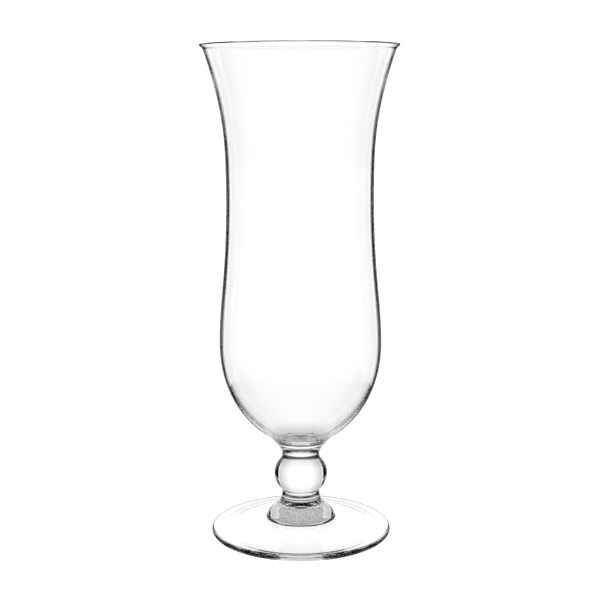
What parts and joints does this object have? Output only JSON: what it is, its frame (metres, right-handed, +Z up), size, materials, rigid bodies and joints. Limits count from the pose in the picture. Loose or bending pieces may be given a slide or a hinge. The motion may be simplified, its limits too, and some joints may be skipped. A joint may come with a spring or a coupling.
{
  "type": "hurricane glass",
  "caption": "Tall clear stemmed cocktail glass: a waisted, flared, thin-walled bowl on a round ball knop, a bell-shaped stem base and a broad round foot.",
  "frame": {"origin": "centre of the foot's underside, on the surface that the glass stands on", "axes": "+Z up along the glass's axis, from the foot to the rim; the glass is round, so X and Y are alike"},
  "size_m": [0.0908, 0.0908, 0.23],
  "materials": {
    "bowl_glass": "clear, fire-polished",
    "stem_glass": "clear, solid, fire-polished",
    "foot_glass": "clear, pressed, fire-polished"
  },
  "bodies": {
    "root": {"foot": "foot_glass", "foot_bell": "stem_glass", "lower_merese": "stem_glass", "ball_knop": "stem_glass", "upper_merese": "stem_glass", "bowl": "bowl_glass"}
  },
  "joints": []
}
